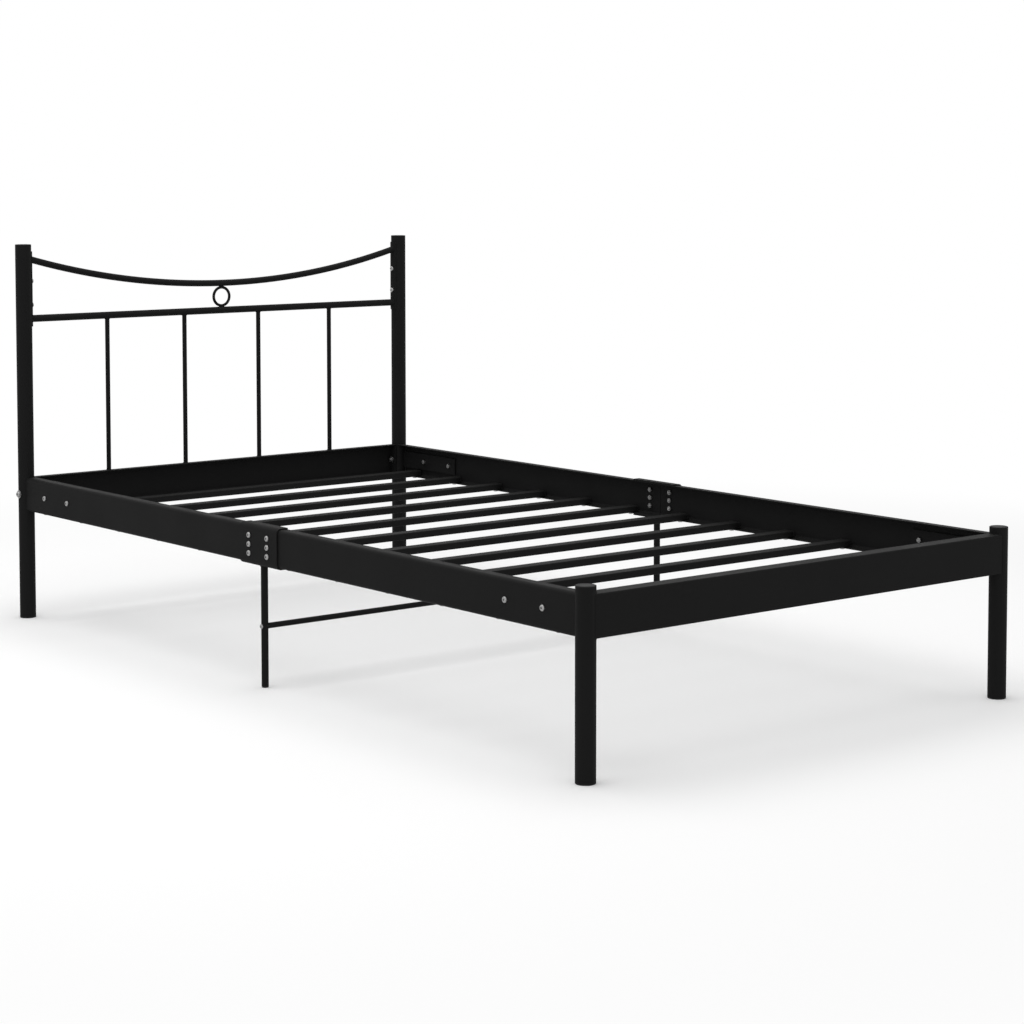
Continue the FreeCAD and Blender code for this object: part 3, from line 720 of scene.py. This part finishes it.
# ---- Large bolts through the head posts ----
# One domed bolt with a plain washer on the outside of each head post. It runs through the post
# into a hex nut behind the head rail's end plate.
def nut_tree():
    """A chamfered hex nut with a plain bore, at each point."""
    tree, given = new_tree("hex nut", Float=[
        "Corner Radius", "Height", "Bore Radius", "Chamfer"], Int=["Seed"])
    past_corners, past_ends, drawn_in = 1.01, 1.002, 0.16
    bar = add_node(tree, "GeometryNodeMeshCylinder",
                   {"Vertices": 6, "Radius": given["Corner Radius"], "Depth": given["Height"]})
    turned_bar = add_node(
        tree, "GeometryNodeMeshCylinder",
        {"Vertices": 48, "Side Segments": 3,
         "Radius": work_out(tree, "MULTIPLY", given["Corner Radius"], past_corners),
         "Depth": work_out(tree, "MULTIPLY", given["Height"], past_ends)})
    at = point_place(tree)
    at_end = work_out(tree, "GREATER_THAN", work_out(tree, "ABSOLUTE", at["Z"]),
                      work_out(tree, "DIVIDE", given["Height"], 3))
    share = work_out(tree, "SUBTRACT", 1.0, work_out(tree, "MULTIPLY", at_end, drawn_in))
    half = work_out(tree, "DIVIDE", given["Height"], 2)
    shoulder = work_out(tree, "MULTIPLY", work_out(tree, "SUBTRACT", half, given["Chamfer"]),
                        work_out(tree, "SUBTRACT", 1.0, at_end))
    level = work_out(tree, "MULTIPLY", work_out(tree, "SIGN", at["Z"]), shoulder)
    end_level = work_out(tree, "MULTIPLY", at["Z"], at_end)
    chamfered = move_points(tree, turned_bar.outputs[0],
                            work_out(tree, "MULTIPLY", at["X"], share),
                            work_out(tree, "MULTIPLY", at["Y"], share),
                            work_out(tree, "ADD", level, end_level))
    body = add_node(tree, "GeometryNodeMeshBoolean", {"Mesh 2": bar.outputs[0]},
                    operation="INTERSECT", solver="EXACT")
    tree.links.new(chamfered, body.inputs["Mesh 2"])
    drill = add_node(tree, "GeometryNodeMeshCylinder",
                     {"Vertices": 28, "Radius": given["Bore Radius"],
                      "Depth": work_out(tree, "MULTIPLY", given["Height"], 2)})
    nut = add_node(tree, "GeometryNodeMeshBoolean",
                   {"Mesh 1": body.outputs[0], "Mesh 2": drill.outputs[0]},
                   operation="DIFFERENCE", solver="EXACT")
    crisp = sharpen(tree, nut.outputs[0], math.radians(20))
    close_tree(tree, along_axis(tree, crisp, given), given)
    return tree


hex_nut = nut_tree()


def nuts(node, axis_of, flats, bore, seed):
    """Hex nuts in place of a CAD node, their faces square to axis_of(place)."""
    boxes = solid_boxes(node)
    axis = Vector(axis_of(sum(boxes[0], Vector()) / 2))
    height = abs(axis.dot(boxes[0][1] - boxes[0][0]))
    points = seats(node + "_seats", boxes, axis_of, height / 2)
    piece = make_piece(node + "_turned", hex_nut, {
        "Corner Radius": flats / math.sqrt(3), "Height": height, "Bore Radius": bore / 2,
        "Chamfer": flats * 0.045, "Seed": seed, "Material": bright_zinc},
        points)
    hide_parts(node)


screws("head_rail_bolts", outward, size=0.008, pitch=0.00125, head_height=0.0044,
       socket_flats=0.005, seed=13)
nuts("head_rail_nuts", inward, flats=0.013, bore=0.0083, seed=17)
finish_nodes(bright_zinc, ["head_rail_washers"])


# ---- Foot rail ----
# A deeper channel than the side rails, with small bends, saddle cut at both ends and welded
# round its outline to the foot posts, almost level with their fronts.
finish_nodes(black_coat, ["foot_rail"])
foot_post_low, foot_post_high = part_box("foot_post_right")
foot_post_y = (foot_post_low.y + foot_post_high.y) / 2
foot_low, foot_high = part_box("foot_rail")
foot_rail_corner = 0.003


def channel_outline():
    """Outside of the rolled channel from its lower flange to its upper: (inset, rise)."""
    depth, height = foot_high.y - foot_low.y, foot_high.z - foot_low.z
    corner = [(foot_rail_corner * (1 - math.sin(turn)),
               foot_rail_corner * (1 - math.cos(turn))) for turn in quarter_turn]
    lower = [(depth, 0)] + corner
    upper = [(inset, height - rise) for inset, rise in reversed(lower)]
    return lower + upper


def split(points, most):
    """The same path with more points, none further apart than most."""
    path = [points[0]]
    for first, last in zip(points, points[1:]):
        count = max(1, math.ceil(math.dist(first, last) / most))
        path += [tuple(a + (b - a) * i / count for a, b in zip(first, last))
                 for i in range(1, count + 1)]
    return path


foot_seams = []
seam_step = 0.002
for side in (-1, 1):
    seam = []
    for inset, rise in split(channel_outline(), seam_step):
        ahead = foot_low.y + inset - foot_post_y
        beside = math.sqrt(post_radius ** 2 - ahead ** 2)
        seam.append((side * (post_x - beside), foot_low.y + inset, foot_low.z + rise))
    foot_seams.append(seam)
weld("foot_rail_welds", foot_seams, bead=0.0012, seed=7)


# ---- Side rails and their tongues ----
# Each side is two lengths of rolled channel. A flat steel tongue welded to every post reaches
# into the channel, and two screws pull web and tongue together.
finish_nodes(black_coat, names_with("side_rail") + names_with("rail_tongue"))

tongue_seams = []
for name in names_with("rail_tongue"):
    low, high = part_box(name)
    side = math.copysign(1, low.x)
    end = math.copysign(1, low.y)
    post = middle("foot_post_right" if end < 0 else "head_post_right")
    inner_x = min(abs(low.x), abs(high.x))
    across = inner_x - post.x
    reach = math.sqrt(post_radius ** 2 - across ** 2)
    steps = 20
    tongue_seams.append([(side * inner_x, end * (abs(post.y) - reach),
                          low.z + (high.z - low.z) * i / steps) for i in range(steps + 1)])
weld("rail_tongue_welds", tongue_seams, bead=0.0016, seed=9)


# ---- Sleeves, rail screws and rail nuts ----
# A thick pressed sleeve wraps the joint of the two rail lengths on each side. Screws and nuts
# hold it, three in a column on each half, and screws of the same kind hold the tongues.
finish_nodes(black_coat, names_with("rail_sleeve"))
screws("rail_bolts", outward, seed=19, **m6)
nuts("rail_nuts", outward, flats=0.010, bore=0.0063, seed=23)


# ---- Middle legs and crossbar ----
# A thin tube leg is welded under each sleeve and ends in a moulded foot. A crossbar with
# threaded plugs is screwed between the legs and keeps them upright.
finish_nodes(black_coat, ["support_leg_left", "support_leg_right", "support_crossbar"])
finish_nodes(black_plastic, ["support_leg_feet"])
finish_nodes(bright_zinc, ["crossbar_plugs"])
leg_seams = []
for name in ("support_leg_left", "support_leg_right"):
    low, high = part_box(name)
    axis = (low + high) / 2
    leg_radius = (high.y - low.y) / 2

    def under_sleeve(turn, axis=axis, top=high.z):
        return (axis.x + leg_radius * math.cos(turn),
                axis.y + leg_radius * math.sin(turn), top)

    leg_seams.append(round_seam(under_sleeve))
weld("support_leg_welds", leg_seams, bead=0.0016, seed=29)
screws("crossbar_screws", outward, size=0.005, pitch=0.0008, head_height=0.0028,
       socket_flats=0.003, seed=31)


# ---- Slats ----
# Twelve rectangular steel tubes with rounded corners lie across on the lower flanges of the
# side rails. Each has a plastic plug in both ends and a screw from below at both ends.
finish_nodes(black_coat, names_with("slat_0") + names_with("slat_1"))
finish_nodes(black_plastic, ["slat_end_plugs"])
screws("slat_bolts", downward, seed=37, **m6)


# ---- Studio ----
# A pale floor that fades to a white surround, one large soft lamp high above the bed, and a
# smaller one that lights the side and foot end.
scene.view_settings.view_transform = "Standard"


def looked_at(tree):
    """1 where a surface is seen, also in a shiny one, and 0 where it only gives light."""
    rays = add_node(tree, "ShaderNodeLightPath").outputs
    indirect = work_out(tree, "MAXIMUM", rays["Is Glossy Ray"], rays["Is Transmission Ray"])
    return work_out(tree, "MAXIMUM", rays["Is Camera Ray"], indirect)


surround = bpy.data.worlds.new("white_surround")
scene.world = surround
surround.use_nodes = True
tree = surround.node_tree
surround_light, surround_seen = 0.5, 1.0
strength = spread(tree, looked_at(tree), (0.0, 1.0), (surround_light, surround_seen))
background = tree.nodes["Background"]
background.inputs["Color"].default_value = (1, 1, 1, 1)
tree.links.new(strength, background.inputs["Strength"])

floor_half = 30
floor_mesh = bpy.data.meshes.new("floor")
floor_mesh.from_pydata([(-floor_half, -floor_half, 0), (floor_half, -floor_half, 0),
                        (floor_half, floor_half, 0), (-floor_half, floor_half, 0)],
                       [], [(0, 1, 2, 3)])
floor = bpy.data.objects.new("floor", floor_mesh)
scene.collection.objects.link(floor)
pale, tree, plain_shader, place = new_material("pale_floor")
tree.nodes.remove(plain_shader)
seen = looked_at(tree)
away = add_node(tree, "ShaderNodeVectorMath", {0: place}, operation="LENGTH").outputs["Value"]
fade_start, fade_end = 1.7, 3.2
fade = spread(tree, away, (fade_start, fade_end), (0.0, 1.0), interpolation_type="SMOOTHSTEP")
floor_light, floor_seen = grey(0.8), grey(0.98)
lit = add_node(tree, "ShaderNodeBsdfDiffuse",
               {"Color": blend_colours(tree, seen, floor_light, floor_seen)})
white = add_node(tree, "ShaderNodeEmission", {"Color": (1, 1, 1, 1), "Strength": 1.0})
shown = add_node(tree, "ShaderNodeMixShader",
                 {"Fac": work_out(tree, "MULTIPLY", fade, seen),
                  1: lit.outputs[0], 2: white.outputs[0]})
tree.links.new(shown.outputs[0], tree.nodes["Material Output"].inputs["Surface"])
floor_mesh.materials.append(pale)


def soft_lamp(name, place, target, size, watts):
    """A square lamp that faces its target, hidden from the camera."""
    lamp = bpy.data.lights.new(name, "AREA")
    lamp.shape = "SQUARE"
    lamp.size = size
    lamp.energy = watts
    stand = bpy.data.objects.new(name, lamp)
    stand.location = place
    aim = Vector(target) - Vector(place)
    stand.rotation_euler = aim.to_track_quat("-Z", "Y").to_euler()
    stand.visible_camera = False
    scene.collection.objects.link(stand)


soft_lamp("overhead_lamp", place=(-0.5, 0.4, 5.0), target=(0, 0, 0), size=6.0, watts=205)
soft_lamp("side_lamp", place=(-3.0, -5.0, 3.0), target=(0, 0, 0.3), size=2.5, watts=12)

# The camera looks along the bed from beyond the left foot corner, at chest height.
camera_data = bpy.data.cameras.new("camera")
camera_data.lens = 87.596
camera_data.sensor_width = 36
camera_data.shift_x = -0.01856
camera_data.shift_y = -0.18
camera_data.clip_end = 200
camera = bpy.data.objects.new("camera", camera_data)
camera.location = (-3.3706, -4.3314, 1.1023)
camera_pitch_down, camera_turn = 3.896, -39.234
camera.rotation_euler = (math.radians(90 - camera_pitch_down), 0, math.radians(camera_turn))
scene.collection.objects.link(camera)
scene.camera = camera
